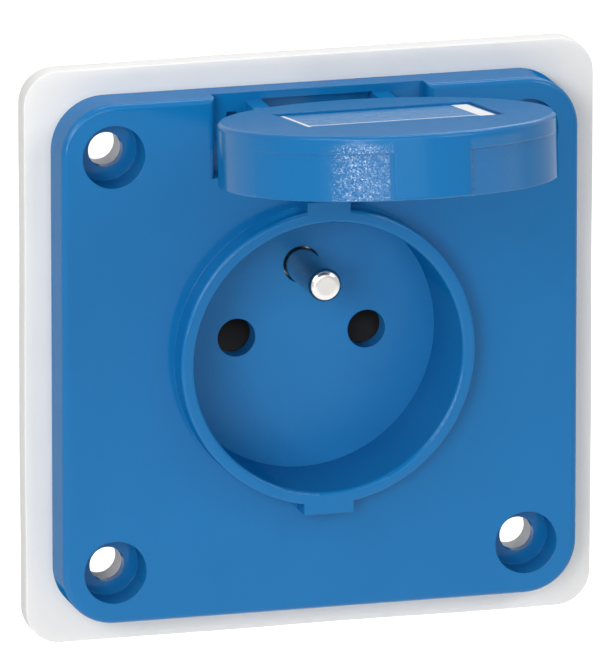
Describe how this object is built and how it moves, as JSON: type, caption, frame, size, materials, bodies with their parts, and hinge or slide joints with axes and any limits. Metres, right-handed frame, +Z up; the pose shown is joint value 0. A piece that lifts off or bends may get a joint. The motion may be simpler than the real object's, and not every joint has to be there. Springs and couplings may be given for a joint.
{
  "type": "panel mount power socket",
  "caption": "Square panel mount power socket with an earth pin in a round plug recess, a flip lid hinged at the top, a soft gasket and a round rear body with screw terminals.",
  "frame": {"origin": "middle of the panel face, where the rear of the gasket rests on the panel, on the axis of the plug recess", "axes": "+Y into the panel, towards the rear body; the socket's front faces -Y; +X to the right seen from the front; +Z up, towards the hinge"},
  "size_m": [0.083, 0.0989, 0.0862],
  "materials": {
    "blue_plastic": "satin moulded",
    "gasket_foam": "soft matt white",
    "seal_rubber": "matt black",
    "label": "printed film, left blank",
    "nickel": "nickel plated",
    "steel": "zinc plated",
    "brass": "plain",
    "carrier_plastic": "moulded",
    "shutter_plastic": "moulded"
  },
  "bodies": {
    "base": {"front_plate": "blue_plastic", "panel_gasket": "gasket_foam", "socket_insert": "blue_plastic", "insert_screws": "steel", "hinge_pin": "steel", "earth_pin": "nickel", "earth_nut": "steel", "earth_strap": "brass", "contact_carrier": "carrier_plastic", "carrier_screws": "steel", "shutter_spring": "steel", "contact_left": "brass", "contact_right": "brass", "terminal_left": "brass", "terminal_right": "brass", "terminal_earth": "brass", "terminal_screws": "steel"},
    "lid": {"lid": "blue_plastic", "lid_seal": "seal_rubber", "lid_label": "label"},
    "shutter": {"shutter": "shutter_plastic"}
  },
  "joints": [
    {"name": "lid_hinge", "type": "hinge", "parent": "base", "child": "lid", "pos_m": [0, -0.01264, 0.0312], "axis": [1, 0, 0], "range_deg": [0, 97.5]},
    {"name": "shutter_slide", "type": "slide", "parent": "base", "child": "shutter", "axis": [0, 0, -1], "range_m": [0, 0.0064], "stiffness_N_per_m": 80, "springref_m": -0.004, "deforming": ["shutter_spring"]}
  ]
}
